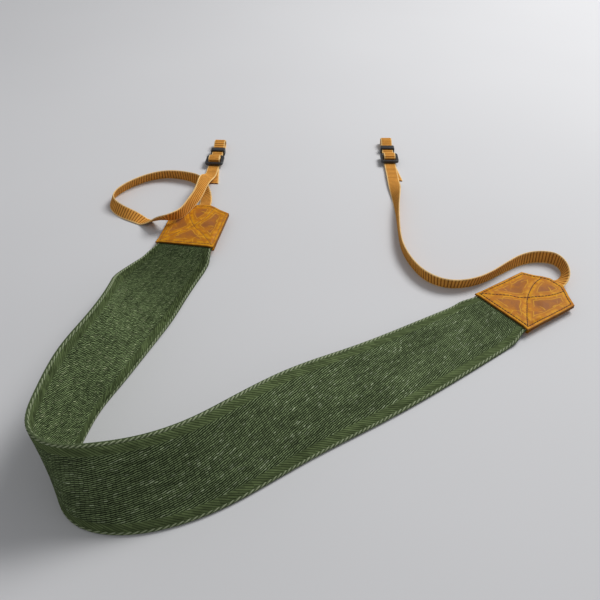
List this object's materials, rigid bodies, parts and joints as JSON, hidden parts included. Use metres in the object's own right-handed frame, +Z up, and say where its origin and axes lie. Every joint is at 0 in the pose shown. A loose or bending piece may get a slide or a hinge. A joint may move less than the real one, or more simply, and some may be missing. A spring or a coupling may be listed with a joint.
{
  "type": "camera strap",
  "caption": "Wide woven neck band with leather end tabs and narrow webbing ends, each with a slide buckle, a keeper and a lug loop, lying in a loose open coil.",
  "frame": {"origin": "middle of the lying strap's box, on the surface that it lies on", "axes": "+Z up; +Y away from the bend of the neck band, towards the two webbing ends; +X from the left tab to the right one"},
  "size_m": [0.352, 0.4154, 0.05],
  "materials": {
    "band_fabric": "green ribbed weave with lighter twill stripes along both edges",
    "tab_leather": "waxed yellow-brown leather with pale creases",
    "webbing_fabric": "ochre webbing, ribbed across",
    "slide_plastic": "black, satin"
  },
  "bodies": {
    "root": {"band": "band_fabric", "tab_left_top": "tab_leather", "tab_left_bottom": "tab_leather", "webbing_left": "webbing_fabric", "slide_left": "slide_plastic", "keeper_left": "slide_plastic", "tab_right_top": "tab_leather", "tab_right_bottom": "tab_leather", "webbing_right": "webbing_fabric", "slide_right": "slide_plastic", "keeper_right": "slide_plastic"}
  },
  "joints": []
}
